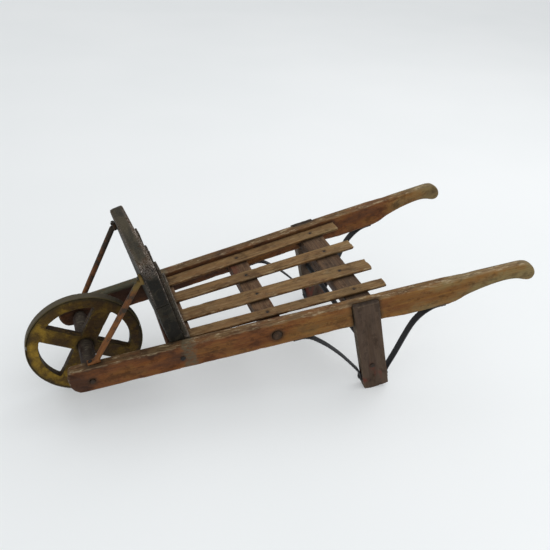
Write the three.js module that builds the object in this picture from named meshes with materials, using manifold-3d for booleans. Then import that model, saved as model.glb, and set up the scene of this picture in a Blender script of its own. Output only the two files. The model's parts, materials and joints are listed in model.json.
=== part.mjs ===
// A child's slatted wooden wheelbarrow: two splayed shafts, three cross rails,
// four bed slats, a raked headboard with iron braces, two stayed legs and one
// spoked wheel turning on iron gudgeons.
// Millimetres. +X runs from the wheel to the handles, +Z up, left is -Y.
// The origin lies on the ground under the middle of the overall length.

import * as THREE from 'three';
import { mergeVertices } from 'three/addons/utils/BufferGeometryUtils.js';
import Module from 'manifold-3d';

const wasm = await Module();
wasm.setup();

// ---- driving dimensions ---------------------------------------------------

const GAP = 0.3; // clearance between neighbouring pieces

const WHEEL_R = 91;
const TYRE_THICK = 1.8;
const WHEEL_WIDTH = 14;
const RIM_WIDTH = 20;
const SPOKE_WIDTH = 27;
const SPOKE_ANGLE = 63; // degrees above +X of the first spoke
const BARREL_R = 12;
const BARREL_NECK_R = 9.5;
const GUDGEON_R = 4;
const GUDGEON_DEPTH = 20; // let into the barrel end

const PITCH = Math.atan(110 / 700); // rise of the shafts towards the handles
const SPLAY = Math.atan(63.5 / 700); // each shaft's spread towards the handles
const SHAFT_THICK = 18.3;
const SHAFT_HALF = 21.65; // half the shaft height, square to the shaft
const SHAFT_MID_Y = 86; // shaft centre line at the axle
const SHAFT_MID_Z = 93.8; // the shafts' middle lies a little over the axle
const SHAFT_FRONT = -34; // along the shaft from the axle
const HANDLE_START = 600;
const DEEPER = 2.6; // the shafts' extra depth behind the legs
const DEEPER_FROM = 470;
const DEEPER_AT = 498;

const RAIL_TOP = 9.5; // above the shaft centre line
const RAIL_DEEP = 21.8;
const TENON_Z = -0.3; // tenon centre against the shaft centre line
const RAILS = {
  front: { at: 140.5, width: 43, tenonR: 7, reach: 12 },
  middle: { at: 284, width: 33, tenonR: 8, reach: SHAFT_THICK + 1.5 },
  rear: { at: 432, width: 42, tenonR: 7, reach: 10.5 },
};

const SLAT_THICK = 5.8;
const SLAT_FRONT = 148.6;
const SLAT_REAR = 486;
// centre line at the front and rear ends, and width
const SLATS = [
  { front: 77, rear: 107, width: 25 },
  { front: 27.5, rear: 38, width: 25 },
  { front: -24, rear: -30, width: 30 },
  { front: -72.5, rear: -88, width: 20 },
];
const SLAT_FAN_START = 162; // where the front centre line is measured

const BOARD_LEAN = THREE.MathUtils.degToRad(7.2);
const BOARD_SKEW = THREE.MathUtils.degToRad(4.2); // left end further back
const BOARD_THICK = 21.6;
const BOARD_HALF_WIDTH = 92;
const BOARD_FOOT_X = 117; // front face at the level of the shaft tops
const BOARD_HEIGHT = 146.5;
const BOARD_SLANT = 2.5; // the top edge is higher by this at the right end, lower at the left
const BOARD_FOOT = -30; // past the shaft tops, cut off on the front rail
const LOWER_PLANK = 70;
const BATTEN_THICK = 6;
const BATTEN_WIDTH = 22;
const BATTEN_FOOT = 4.5;
const BATTEN_TOP = { left: 122, centre: 114, right: 111 };
const BATTEN_Y = 62;
const SILL_WIDTH = 15;
const SILL_TOP = SHAFT_HALF + 3;

const BRACE_R = 4.5;
const BRACE_Y = 83;
const BRACE_FOOT_X = 14;
const BRACE_TOP = 121; // up the front face of the headboard
const BRACE_STAND = 1; // rod's end off the lug that holds it
const PAD_THICK = 3.6; // flattened brace foot
const PAD_HALF_WIDTH = 5.5;
const PAD_LENGTH = 15; // ahead of the rod's foot
const LUG_THICK = 5; // flattened brace top
const LUG_RISE = 10;

const LEG_FOOT_X = 446.3;
const LEG_WIDTH = 45;
const FOOT_FLAT = 13; // worn flat under the square-cut foot
const FOOT_LIFT = 7.5; // rear corner of the foot off the ground
const LEG_RAKE = 0.254; // run per unit of height
const LEG_PROUD = 5.5;
const LEG_THICK = 19;
const LEG_HOUSING = 6;
const STRETCHER = { x: 435, z: 93, r: 4.5, intoLeg: 3 };

const STRAP_THICK = 2.6;
const STRAP_WIDTH = 13;

// ---- materials ------------------------------------------------------------

const paint = (name, color, roughness, metalness) => {
  const material = new THREE.MeshStandardMaterial({ color, roughness, metalness });
  material.name = name;
  return material;
};
const SHAFT_WOOD = paint('shaft_wood', 0x7a4a2c, 0.75, 0);
const SLAT_WOOD = paint('slat_wood', 0x8a6844, 0.8, 0);
const BOARD_PAINT = paint('board_paint', 0x4a4a3c, 0.75, 0);
const LEG_WOOD = paint('leg_wood', 0x55301f, 0.75, 0);
const WHEEL_PAINT = paint('wheel_paint', 0x8a7434, 0.7, 0);
const IRON = paint('iron', 0x3a3632, 0.6, 0.8);
const RUST = paint('rusty_iron', 0x6a4028, 0.8, 0.4);

// ---- solids ---------------------------------------------------------------

function toSolid(geometry) {
  const bare = geometry.clone();
  bare.deleteAttribute('normal');
  bare.deleteAttribute('uv');
  const welded = mergeVertices(bare, 1e-4);
  return new wasm.Manifold(new wasm.Mesh({
    numProp: 3,
    vertProperties: new Float32Array(welded.attributes.position.array),
    triVerts: new Uint32Array(welded.index.array),
  }));
}

function toGeometry(solid) {
  const mesh = solid.getMesh();
  const geometry = new THREE.BufferGeometry();
  geometry.setAttribute('position', new THREE.BufferAttribute(mesh.vertProperties, 3));
  geometry.setIndex(new THREE.BufferAttribute(mesh.triVerts, 1));
  return geometry;
}

function box(x0, x1, y0, y1, z0, z1) {
  const geometry = new THREE.BoxGeometry(x1 - x0, y1 - y0, z1 - z0);
  return geometry.translate((x0 + x1) / 2, (y0 + y1) / 2, (z0 + z1) / 2);
}

// a side profile of [x, z] points given a thickness from y0 to y1
function slab(profile, y0, y1, bevel = 0) {
  const shape = new THREE.Shape(profile.map(([x, z]) => new THREE.Vector2(x, z)));
  const geometry = new THREE.ExtrudeGeometry(shape, {
    depth: y1 - y0 - 2 * bevel,
    bevelEnabled: bevel > 0,
    bevelThickness: bevel,
    bevelSize: bevel,
    bevelOffset: -bevel,
    bevelSegments: 1,
    curveSegments: 24,
  });
  return geometry.rotateX(Math.PI / 2).translate(0, y1 - bevel, 0);
}

// a plan of [x, y] points given a height from z0 to z1
function plate(plan, z0, z1, bevel = 0) {
  const shape = new THREE.Shape(plan.map(([x, y]) => new THREE.Vector2(x, y)));
  const geometry = new THREE.ExtrudeGeometry(shape, {
    depth: z1 - z0 - 2 * bevel,
    bevelEnabled: bevel > 0,
    bevelThickness: bevel,
    bevelSize: bevel,
    bevelOffset: -bevel,
    bevelSegments: 1,
  });
  return geometry.translate(0, 0, z0 + bevel);
}

// a round bar between two points
function bar(from, to, radius, sides = 20) {
  const a = new THREE.Vector3(...from);
  const b = new THREE.Vector3(...to);
  const along = b.clone().sub(a);
  const geometry = new THREE.CylinderGeometry(radius, radius, along.length(), sides);
  const turn = new THREE.Quaternion().setFromUnitVectors(
    new THREE.Vector3(0, 1, 0),
    along.clone().normalize(),
  );
  return geometry.applyQuaternion(turn).translate(...a.add(b).multiplyScalar(0.5));
}

// a domed head standing off a surface, with its shank driven into it
function fastener(at, outward, headR, shankR, depth) {
  const dome = headR * 0.45;
  const profile = [
    [0, -depth],
    [shankR, -depth],
    [shankR, GAP],
    [headR, GAP],
    [headR * 0.92, GAP + dome * 0.5],
    [headR * 0.6, GAP + dome * 0.88],
    [0, GAP + dome],
  ];
  const geometry = new THREE.LatheGeometry(
    profile.map(([r, y]) => new THREE.Vector2(r, y)),
    14,
  );
  const turn = new THREE.Quaternion().setFromUnitVectors(
    new THREE.Vector3(0, 1, 0),
    new THREE.Vector3(...outward).normalize(),
  );
  return geometry.applyQuaternion(turn).translate(...at);
}

// the clearance hole a fastener needs
function shankHole(at, outward, shankR, depth) {
  const out = new THREE.Vector3(...outward).normalize();
  const start = new THREE.Vector3(...at).addScaledVector(out, 1);
  const end = new THREE.Vector3(...at).addScaledVector(out, -depth - GAP);
  return bar(start.toArray(), end.toArray(), shankR + GAP, 14);
}

// ---- frames ---------------------------------------------------------------

// the frame along the shafts, with its origin over the axle, into the upright one
function raised(geometry) {
  return geometry.rotateY(-PITCH).translate(0, 0, SHAFT_MID_Z);
}

const shaftY = (x) => SHAFT_MID_Y + x * Math.tan(SPLAY);
const undersideZ = (x) => SHAFT_MID_Z - SHAFT_HALF / Math.cos(PITCH) + x * Math.tan(PITCH);
const topZ = (x) => SHAFT_MID_Z + SHAFT_HALF / Math.cos(PITCH) + x * Math.tan(PITCH);
const SIDES = [['left', -1], ['right', 1]];

const group = new THREE.Group();
group.name = 'wheelbarrow';

function add(name, solid, material) {
  const geometry = toGeometry(solid);
  const flat = geometry.toNonIndexed();
  flat.computeVertexNormals();
  const mesh = new THREE.Mesh(flat, material.clone());
  mesh.name = name;
  group.add(mesh);
}

// ---- shafts ---------------------------------------------------------------

// side profile of a shaft, along and square to its own length
function shaftProfile() {
  const grip = new THREE.SplineCurve([
    new THREE.Vector2(704, 21.65),
    new THREE.Vector2(717, 19.2),
    new THREE.Vector2(726.5, 12),
    new THREE.Vector2(732.5, 2),
    new THREE.Vector2(733.5, -7),
    new THREE.Vector2(729, -13.8),
    new THREE.Vector2(722, -15.4),
    new THREE.Vector2(714, -13),
    new THREE.Vector2(703, -8.4),
    new THREE.Vector2(690, -5.4),
    new THREE.Vector2(676, -4.8),
    new THREE.Vector2(660, -5.8),
    new THREE.Vector2(642, -8.2),
    new THREE.Vector2(625, -11.8),
    new THREE.Vector2(610, -16),
    new THREE.Vector2(598, -20.3),
    new THREE.Vector2(588, -23.4),
    new THREE.Vector2(577, -SHAFT_HALF - DEEPER),
  ]).getPoints(42).map((p) => [p.x, p.y]);
  return [
    [SHAFT_FRONT + 4, SHAFT_HALF],
    [SHAFT_FRONT, 9],
    [SHAFT_FRONT, -5],
    [SHAFT_FRONT + 4, -15],
    [SHAFT_FRONT + 12, -SHAFT_HALF],
    [DEEPER_FROM, -SHAFT_HALF],
    [DEEPER_AT, -SHAFT_HALF - DEEPER],
    ...grip.reverse(),
  ];
}

function shaftBlank() {
  const half = SHAFT_THICK / 2;
  const long = slab(shaftProfile(), -half, half, 1.2);
  const rounded = slab(shaftProfile(), -half, half, 3.4);
  const rear = toSolid(box(HANDLE_START, 800, -half - 1, half + 1, -60, 60));
  return toSolid(long).subtract(rear).add(toSolid(rounded).intersect(rear));
}

// ---- rails ----------------------------------------------------------------

// the open bay between the inner faces of the shafts
function bay(clear) {
  const inner = SHAFT_THICK / 2 / Math.cos(SPLAY) + clear;
  const x0 = -40;
  const x1 = 760;
  return plate([
    [x0, -(shaftY(x0) - inner)],
    [x1, -(shaftY(x1) - inner)],
    [x1, shaftY(x1) - inner],
    [x0, shaftY(x0) - inner],
  ], 0, 300);
}

function railTenon(rail, grow) {
  const x = rail.at * Math.cos(PITCH);
  const reach = shaftY(x) - SHAFT_THICK / 2 + rail.reach + grow;
  return raised(bar([rail.at, -reach, TENON_Z], [rail.at, reach, TENON_Z], rail.tenonR + grow, 24));
}

function railSolid(rail) {
  const blank = slab([
    [rail.at - rail.width / 2, RAIL_TOP],
    [rail.at - rail.width / 2, RAIL_TOP - RAIL_DEEP],
    [rail.at + rail.width / 2, RAIL_TOP - RAIL_DEEP],
    [rail.at + rail.width / 2, RAIL_TOP],
  ], -180, 180, 1);
  return toSolid(raised(blank))
    .intersect(toSolid(bay(GAP)))
    .add(toSolid(railTenon(rail, 0)));
}

// ---- slats ----------------------------------------------------------------

const slatY = (slat, x) => {
  const share = (x - SLAT_FAN_START) / (SLAT_REAR - SLAT_FAN_START);
  return slat.front + (slat.rear - slat.front) * share;
};

function slatSolid(slat) {
  const half = slat.width / 2;
  const bottom = RAIL_TOP + GAP;
  const plan = [
    [SLAT_FRONT, slatY(slat, SLAT_FRONT) - half],
    [SLAT_REAR, slatY(slat, SLAT_REAR) - half],
    [SLAT_REAR, slatY(slat, SLAT_REAR) + half],
    [SLAT_FRONT, slatY(slat, SLAT_FRONT) + half],
  ];
  return toSolid(raised(plate(plan, bottom, bottom + SLAT_THICK, 0.8)));
}

const SLAT_TOP = RAIL_TOP + GAP + SLAT_THICK;
const NAIL = { headR: 2.6, shankR: 1.2, depth: 17, sink: 1.8 };
const nailSpots = [];
SLATS.forEach((slat, index) => {
  [['middle', RAILS.middle], ['rear', RAILS.rear]].forEach(([where, rail]) => {
    const at = [rail.at, slatY(slat, rail.at), SLAT_TOP - NAIL.sink];
    nailSpots.push({ name: `slat_nail_${where}_${index + 1}`, at });
  });
});
// the nails' heads are sunk a little under the slats' faces
const headPocket = ([x, y, z]) =>
  bar([x, y, z], [x, y, SLAT_TOP + NAIL.sink], NAIL.headR + GAP, 14);
const nailHoles = nailSpots
  .flatMap(({ at }) => [shankHole(at, [0, 0, 1], NAIL.shankR, NAIL.depth), headPocket(at)])
  .map((cut) => toSolid(raised(cut)));

// ---- headboard ------------------------------------------------------------

// from the headboard's own frame (x back, z up its face) into the upright one
function leaned(geometry) {
  geometry.rotateY(-BOARD_LEAN).rotateZ(BOARD_SKEW);
  return raised(geometry.translate(BOARD_FOOT_X, 0, SHAFT_HALF));
}

// lifts the right end of a top edge lying above z and drops its left end
function slanted(geometry, z) {
  const at = geometry.attributes.position;
  for (let i = 0; i < at.count; i += 1) {
    const rise = at.getZ(i) > z ? BOARD_SLANT * at.getY(i) / BOARD_HALF_WIDTH : 0;
    at.setZ(i, at.getZ(i) + rise);
  }
  return geometry;
}

function boardPiece(x0, x1, halfWidth, yMid, z0, z1, bevel) {
  const profile = [[x0, z1], [x0, z0], [x1, z0], [x1, z1]];
  const blank = slab(profile, yMid - halfWidth, yMid + halfWidth, bevel);
  return toSolid(leaned(slanted(blank, BOARD_HEIGHT - 10)));
}

// ---- legs and stays -------------------------------------------------------

const legFront = (z) => LEG_FOOT_X - LEG_RAKE * z;
const legRear = (z) => LEG_FOOT_X + LEG_WIDTH - LEG_RAKE * z;

// height at which a leg edge of the given foot position meets a shaft line
function legMeets(footX, lineZ) {
  const rise = Math.tan(PITCH);
  const base = lineZ(0);
  return (base + rise * footX) / (1 + rise * LEG_RAKE);
}

function legSolid(grow) {
  const outer = SHAFT_THICK / 2 + LEG_PROUD;
  const inner = outer - LEG_THICK;
  const housed = SHAFT_THICK / 2 - LEG_HOUSING;
  const under = (x) => undersideZ(x) - GAP;
  const crown = (x) => topZ(x) - 1.5 + grow;
  const foot = LEG_FOOT_X + LEG_WIDTH;
  const zf = legMeets(LEG_FOOT_X, crown);
  const zr = legMeets(foot, crown);
  const uf = legMeets(LEG_FOOT_X, under);
  const ur = legMeets(foot, under);
  const upper = slab([
    [legFront(zf) - grow, zf],
    [legFront(uf - 8) - grow, uf - 8],
    [legRear(ur - 8) + grow, ur - 8],
    [legRear(zr) + grow, zr],
  ], housed - grow, outer + grow, grow > 0 ? 0 : 0.8);
  if (grow > 0) return toSolid(upper);
  const lower = slab([
    [legFront(uf), uf],
    [LEG_FOOT_X, 0],
    [LEG_FOOT_X + FOOT_FLAT, 0],
    [foot - LEG_RAKE * FOOT_LIFT, FOOT_LIFT],
    [legRear(ur), ur],
  ], inner, outer, 0.8);
  return toSolid(upper).add(toSolid(lower));
}

// the room the shaft and the leg take up next to a strap
const underShafts = toSolid(raised(
  box(-60, 800, -40, 40, -SHAFT_HALF - GAP, SHAFT_HALF),
)).add(toSolid(raised(
  box(DEEPER_FROM, 800, -40, 40, -SHAFT_HALF - DEEPER - GAP, SHAFT_HALF),
)));
const legRoom = toSolid(slab([
  [legFront(-10) - GAP, -10],
  [legRear(-10) + GAP, -10],
  [legRear(100) + GAP, 100],
  [legFront(100) - GAP, 100],
], -40, 40));

// an iron strap following a centre line in the vertical plane of a shaft
function strap(points) {
  const curve = new THREE.CatmullRomCurve3(
    points.map(([x, z]) => new THREE.Vector3(x, z, 0)),
    false,
    'centripetal',
  );
  const count = 26;
  const outer = [];
  const inner = [];
  for (let i = 0; i <= count; i += 1) {
    const p = curve.getPoint(i / count);
    const d = curve.getTangent(i / count);
    const nx = -d.y * STRAP_THICK / 2;
    const nz = d.x * STRAP_THICK / 2;
    outer.push([p.x + nx, p.y + nz]);
    inner.push([p.x - nx, p.y - nz]);
  }
  const bent = slab([...outer, ...inner.reverse()], -STRAP_WIDTH / 2, STRAP_WIDTH / 2);
  return toSolid(bent).subtract(underShafts).subtract(legRoom);
}

const STRAP_OFF = STRAP_THICK / 2 + GAP + 0.15; // strap centre line off the wood
const seatZ = (x) => undersideZ(x) - (x > DEEPER_AT ? DEEPER / Math.cos(PITCH) : 0);
const underStrap = (x) => [x, seatZ(x) - STRAP_OFF / Math.cos(PITCH)];
const frontStrap = (z) => [legFront(z) - STRAP_OFF * Math.hypot(1, LEG_RAKE), z];
const rearStrap = (z) => [legRear(z) + STRAP_OFF * Math.hypot(1, LEG_RAKE), z];
const STAYS = {
  front: {
    path: [
      underStrap(311), underStrap(320), underStrap(328), [341, 118.8], [355, 110],
      [370, 99], [385, 86], [401, 70.5], [417, 53], [426, 42.5], frontStrap(29),
      frontStrap(20), frontStrap(12),
    ],
    shaftScrew: 319,
    legScrew: 18,
  },
  rear: {
    path: [
      underStrap(571), underStrap(563), underStrap(556), [548, 152.2], [537.5, 145.5],
      [527, 135.2], [518.5, 122], [510, 100], [502, 76], [494.5, 54], [489, 39.5],
      rearStrap(28.5), rearStrap(21), rearStrap(14),
    ],
    shaftScrew: 564,
    legScrew: 19.5,
  },
};
const SCREW = { headR: 4, shankR: 1.8, depth: 12 };
const squareDown = [Math.sin(PITCH), 0, -Math.cos(PITCH)];
const legNormal = new THREE.Vector3(1, 0, LEG_RAKE).normalize().toArray();
const legBack = legNormal.map((v) => -v);

function shaftScrewAt(x) {
  const drop = STRAP_THICK + GAP + 0.1;
  return [x + squareDown[0] * drop, 0, seatZ(x) + squareDown[2] * drop];
}

function legScrewAt(where, z) {
  const stand = STRAP_THICK + GAP + 0.2;
  return where === 'front'
    ? [legFront(z) - stand * legNormal[0], 0, z - stand * legNormal[2]]
    : [legRear(z) + stand * legNormal[0], 0, z + stand * legNormal[2]];
}

const LEG_BOLT = { x: 452, z: 53, headR: 4.5, shankR: 2.2, depth: 12 };
const RAIL_NAIL = { x: 137, z: -1, headR: 4, shankR: 1.6, depth: 11 };

// ---- braces ---------------------------------------------------------------

// a rod with its two ends flattened and turned to lie on wood
function braceParts(side) {
  const foot = [BRACE_FOOT_X, SHAFT_HALF];
  const top = new THREE.Vector3(-GAP - BRACE_R - BRACE_STAND, side * BRACE_Y, BRACE_TOP + 1)
    .applyAxisAngle(new THREE.Vector3(0, 1, 0), -BOARD_LEAN)
    .applyAxisAngle(new THREE.Vector3(0, 0, 1), BOARD_SKEW);
  const y = side * BRACE_Y;
  const rod = bar(
    [foot[0], y, foot[1] + GAP + BRACE_R],
    [top.x + BOARD_FOOT_X, top.y, top.z + SHAFT_HALF],
    BRACE_R,
  );
  const pad = slab([
    [foot[0] - PAD_LENGTH, foot[1] + GAP],
    [foot[0] + 5, foot[1] + GAP],
    [foot[0] + 5, foot[1] + GAP + 4],
    [foot[0] - 2, foot[1] + GAP + 6.5],
    [foot[0] - 5.5, foot[1] + GAP + PAD_THICK],
    [foot[0] - PAD_LENGTH, foot[1] + GAP + PAD_THICK],
  ], y - PAD_HALF_WIDTH, y + PAD_HALF_WIDTH);
  const lugFace = -GAP - LUG_THICK;
  const lugTop = BRACE_TOP + LUG_RISE;
  const lug = boardPiece(lugFace, -GAP, PAD_HALF_WIDTH, y, BRACE_TOP - 4, lugTop, 0);
  const clear = boardPiece(-GAP, 40, 20, y, -40, BOARD_HEIGHT - 11, 0);
  const floor = toSolid(raised(box(-60, 140, y - 20, y + 20, -40, SHAFT_HALF + GAP)));
  return toSolid(raised(rod))
    .add(toSolid(raised(pad)))
    .add(lug)
    .subtract(clear)
    .subtract(floor);
}

const BRACE_SCREW = { headR: 3.2, shankR: 1.5, depth: 11 };
function braceScrews(side) {
  const y = side * BRACE_Y;
  const foot = [BRACE_FOOT_X - 0.69 * PAD_LENGTH, y, SHAFT_HALF + GAP + PAD_THICK];
  const lugScrewZ = BRACE_TOP + 0.68 * LUG_RISE;
  return {
    foot: (build) => raised(build(foot, [0, 0, 1])),
    top: (build) => leaned(build([-GAP - LUG_THICK, y, lugScrewZ], [-1, 0, 0])),
  };
}
const braceScrewBuild = (at, out) =>
  fastener(at, out, BRACE_SCREW.headR, BRACE_SCREW.shankR, BRACE_SCREW.depth);
const braceHoleBuild = (at, out) =>
  shankHole(at, out, BRACE_SCREW.shankR, BRACE_SCREW.depth);

// ---- one side of the frame ------------------------------------------------

// a solid drawn for the right-hand side, y pointing outwards, put on its side
function onSide(solid, side) {
  const handed = side < 0 ? solid.mirror([0, 1, 0]) : solid;
  return handed
    .rotate([0, 0, side * THREE.MathUtils.radToDeg(SPLAY)])
    .translate([0, side * SHAFT_MID_Y, 0]);
}

const gudgeonHole = toSolid(bar([0, -130, WHEEL_R], [0, 130, WHEEL_R], GUDGEON_R + GAP, 24));
const tenonHoles = Object.values(RAILS).map((rail) => toSolid(railTenon(rail, GAP)));
const stretcherY = shaftY(STRETCHER.x) - LEG_THICK / 2 + STRETCHER.intoLeg;
const stretcherBar = (grow) => toSolid(bar(
  [STRETCHER.x, -stretcherY - grow, STRETCHER.z],
  [STRETCHER.x, stretcherY + grow, STRETCHER.z],
  STRETCHER.r + grow,
));

const headboardHoles = [];
const blankShaft = shaftBlank();
const legPocket = legSolid(GAP);
const blankLeg = legSolid(0);
const outerFace = SHAFT_THICK / 2;
const legFace = outerFace + LEG_PROUD;

SIDES.forEach(([label, side]) => {
  const holes = [];
  const fasteners = [];
  const drive = (name, at, outward, size) => {
    const head = toSolid(fastener(at, outward, size.headR, size.shankR, size.depth));
    const hole = toSolid(shankHole(at, outward, size.shankR, size.depth));
    fasteners.push([`${name}_${label}`, onSide(head, side)]);
    holes.push(onSide(hole, side));
  };

  Object.entries(STAYS).forEach(([where, stay]) => {
    drive(`stay_screw_shaft_${where}`, shaftScrewAt(stay.shaftScrew), squareDown, SCREW);
    const out = where === 'front' ? legBack : legNormal;
    drive(`stay_screw_leg_${where}`, legScrewAt(where, stay.legScrew), out, SCREW);
  });
  drive('leg_bolt', [LEG_BOLT.x, legFace, LEG_BOLT.z], [0, 1, 0], LEG_BOLT);
  const nailX = RAIL_NAIL.x * Math.cos(PITCH) - RAIL_NAIL.z * Math.sin(PITCH);
  const nailZ = SHAFT_MID_Z + RAIL_NAIL.x * Math.sin(PITCH) + RAIL_NAIL.z * Math.cos(PITCH);
  drive('rail_nail', [nailX, outerFace, nailZ], [0, 1, 0], RAIL_NAIL);

  const braceEnds = braceScrews(side);
  Object.entries(braceEnds).forEach(([where, put]) => {
    fasteners.push([`brace_screw_${where}_${label}`, toSolid(put(braceScrewBuild))]);
    holes.push(toSolid(put(braceHoleBuild)));
  });

  const bored = (solid) => holes.reduce((rest, hole) => rest.subtract(hole), solid);
  const shaft = tenonHoles.reduce(
    (rest, hole) => rest.subtract(hole),
    onSide(toSolid(raised(toGeometry(blankShaft))).subtract(legPocket), side)
      .subtract(gudgeonHole),
  );
  add(`shaft_${label}`, bored(shaft), SHAFT_WOOD);
  add(`leg_${label}`, bored(onSide(blankLeg, side).subtract(stretcherBar(GAP))), LEG_WOOD);
  Object.entries(STAYS).forEach(([where, stay]) => {
    add(`stay_${where}_${label}`, bored(onSide(strap(stay.path), side)), IRON);
  });
  add(`brace_${label}`, bored(braceParts(side)), RUST);
  fasteners.forEach(([name, solid]) => add(name, solid, IRON));
  headboardHoles.push(...holes);
});
add('leg_stretcher', stretcherBar(0), IRON);

// ---- bed ------------------------------------------------------------------

const nailed = (solid) => nailHoles.reduce((rest, hole) => rest.subtract(hole), solid);
const bored = (solid) => headboardHoles.reduce((rest, hole) => rest.subtract(hole), solid);
Object.entries(RAILS).forEach(([where, rail]) => {
  add(`rail_${where}`, bored(nailed(railSolid(rail))), SHAFT_WOOD);
});
SLATS.forEach((slat, index) => add(`slat_${index + 1}`, nailed(slatSolid(slat)), SLAT_WOOD));
nailSpots.forEach(({ name, at }) => {
  const nail = raised(fastener(at, [0, 0, 1], NAIL.headR, NAIL.shankR, NAIL.depth));
  add(name, toSolid(nail), IRON);
});

// ---- headboard ------------------------------------------------------------

const wide = BOARD_HALF_WIDTH;
const planks = {
  headboard_lower: [BOARD_FOOT, LOWER_PLANK - GAP],
  headboard_upper: [LOWER_PLANK, BOARD_HEIGHT],
};
const railTopPlane = toSolid(raised(box(0, 300, -200, 200, -60, RAIL_TOP + GAP)));
const shaftTops = SIDES.map(([, side]) => onSide(
  toSolid(raised(box(-60, 300, -outerFace - GAP, outerFace + GAP, -40, SHAFT_HALF + GAP))),
  side,
));
Object.entries(planks).forEach(([name, [z0, z1]]) => {
  const blank = boardPiece(0, BOARD_THICK, wide, 0, z0, z1, 1.2);
  const seated = shaftTops.reduce((rest, cut) => rest.subtract(cut), blank);
  add(name, bored(seated.subtract(railTopPlane)), BOARD_PAINT);
});
[['left', -BATTEN_Y], ['centre', 0], ['right', BATTEN_Y]].forEach(([label, y]) => {
  const x0 = BOARD_THICK + GAP;
  const x1 = x0 + BATTEN_THICK;
  const blank = boardPiece(x0, x1, BATTEN_WIDTH / 2, y, BATTEN_FOOT, BATTEN_TOP[label], 0.8);
  add(`batten_${label}`, blank, BOARD_PAINT);
});
const sillBack = BOARD_FOOT_X + BOARD_THICK + SILL_WIDTH + 1;
const sillFront = BOARD_FOOT_X + BOARD_THICK - 7; // trimmed back to the skewed board below
const sill = slab([
  [sillFront, SILL_TOP],
  [sillFront, SLAT_TOP + GAP],
  [sillBack, SLAT_TOP + GAP],
  [sillBack, SILL_TOP],
], -wide, wide, 0.8);
const sillRoom = boardPiece(-20, BOARD_THICK + GAP, 150, 0, -40, 60, 0);
const fitted = toSolid(raised(sill)).intersect(toSolid(bay(GAP))).subtract(sillRoom);
add('headboard_sill', fitted, BOARD_PAINT);

// ---- wheel ----------------------------------------------------------------

function wheelDisc() {
  const outline = new THREE.Shape();
  const rimOuter = WHEEL_R - TYRE_THICK - GAP;
  outline.absarc(0, 0, rimOuter, 0, Math.PI * 2);
  const rimInner = WHEEL_R - RIM_WIDTH;
  const half = SPOKE_WIDTH / 2;
  const reach = Math.sqrt(rimInner ** 2 - half ** 2);
  const begin = Math.atan2(half, reach);
  const end = Math.PI / 2 - begin;
  for (let k = 0; k < 4; k += 1) {
    const turn = THREE.MathUtils.degToRad(SPOKE_ANGLE) + k * Math.PI / 2;
    const spin = (x, y) => [
      x * Math.cos(turn) - y * Math.sin(turn),
      x * Math.sin(turn) + y * Math.cos(turn),
    ];
    const opening = new THREE.Path();
    opening.moveTo(...spin(half, half));
    for (let i = 0; i <= 14; i += 1) {
      const angle = begin + (end - begin) * i / 14;
      opening.lineTo(...spin(rimInner * Math.cos(angle), rimInner * Math.sin(angle)));
    }
    outline.holes.push(opening);
  }
  const bevel = 0.8;
  const geometry = new THREE.ExtrudeGeometry(outline, {
    depth: WHEEL_WIDTH - 2 * bevel,
    bevelThickness: bevel,
    bevelSize: bevel,
    bevelOffset: -bevel,
    bevelSegments: 1,
    curveSegments: 40,
  });
  return geometry
    .rotateX(Math.PI / 2)
    .translate(0, WHEEL_WIDTH / 2 - bevel, WHEEL_R);
}

function turned(profile, sides) {
  return new THREE.LatheGeometry(
    profile.map(([r, y]) => new THREE.Vector2(r, y)),
    sides,
  ).translate(0, 0, WHEEL_R);
}

const barrelEnd = shaftY(0) - SHAFT_THICK / 2 / Math.cos(SPLAY) - 1.8;
const barrelHole = toSolid(bar(
  [0, -20, WHEEL_R], [0, 20, WHEEL_R], BARREL_R + GAP, 32,
));
add('wheel_disc', toSolid(wheelDisc()).subtract(barrelHole), WHEEL_PAINT);

const halfTyre = WHEEL_WIDTH / 2;
const tyre = turned([
  [WHEEL_R - TYRE_THICK, -halfTyre],
  [WHEEL_R, -halfTyre],
  [WHEEL_R, halfTyre],
  [WHEEL_R - TYRE_THICK, halfTyre],
  [WHEEL_R - TYRE_THICK, -halfTyre],
], 80);
add('wheel_tyre', toSolid(tyre), IRON);

const barrel = toSolid(turned([
  [0, -barrelEnd],
  [BARREL_NECK_R, -barrelEnd],
  [BARREL_NECK_R, -barrelEnd + 6],
  [BARREL_R, -barrelEnd + 10],
  [BARREL_R, barrelEnd - 10],
  [BARREL_NECK_R, barrelEnd - 6],
  [BARREL_NECK_R, barrelEnd],
  [0, barrelEnd],
], 32));
const socket = (side) => toSolid(bar(
  [0, side * (barrelEnd - GUDGEON_DEPTH - GAP), WHEEL_R],
  [0, side * (barrelEnd + 5), WHEEL_R],
  GUDGEON_R + GAP,
  24,
));
add('axle_barrel', barrel.subtract(socket(-1)).subtract(socket(1)), WHEEL_PAINT);
SIDES.forEach(([label, side]) => {
  const pin = bar(
    [0, side * (barrelEnd - GUDGEON_DEPTH), WHEEL_R],
    [0, side * (SHAFT_MID_Y + SHAFT_THICK / 2 + 1.5), WHEEL_R],
    GUDGEON_R,
    24,
  );
  add(`gudgeon_${label}`, toSolid(pin), IRON);
});

// the origin goes under the middle of the overall length
const extent = new THREE.Box3().setFromObject(group);
const middle = (extent.min.x + extent.max.x) / 2;
group.children.forEach((mesh) => mesh.geometry.translate(-middle, 0, 0));

export default group;
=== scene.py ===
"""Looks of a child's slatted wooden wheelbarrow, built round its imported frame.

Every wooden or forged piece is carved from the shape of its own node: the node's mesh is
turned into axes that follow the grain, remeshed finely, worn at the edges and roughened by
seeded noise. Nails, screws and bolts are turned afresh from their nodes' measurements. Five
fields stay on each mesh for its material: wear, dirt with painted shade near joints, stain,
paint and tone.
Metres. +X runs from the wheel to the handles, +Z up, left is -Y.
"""

import itertools
import json
import math
from collections import namedtuple

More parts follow.
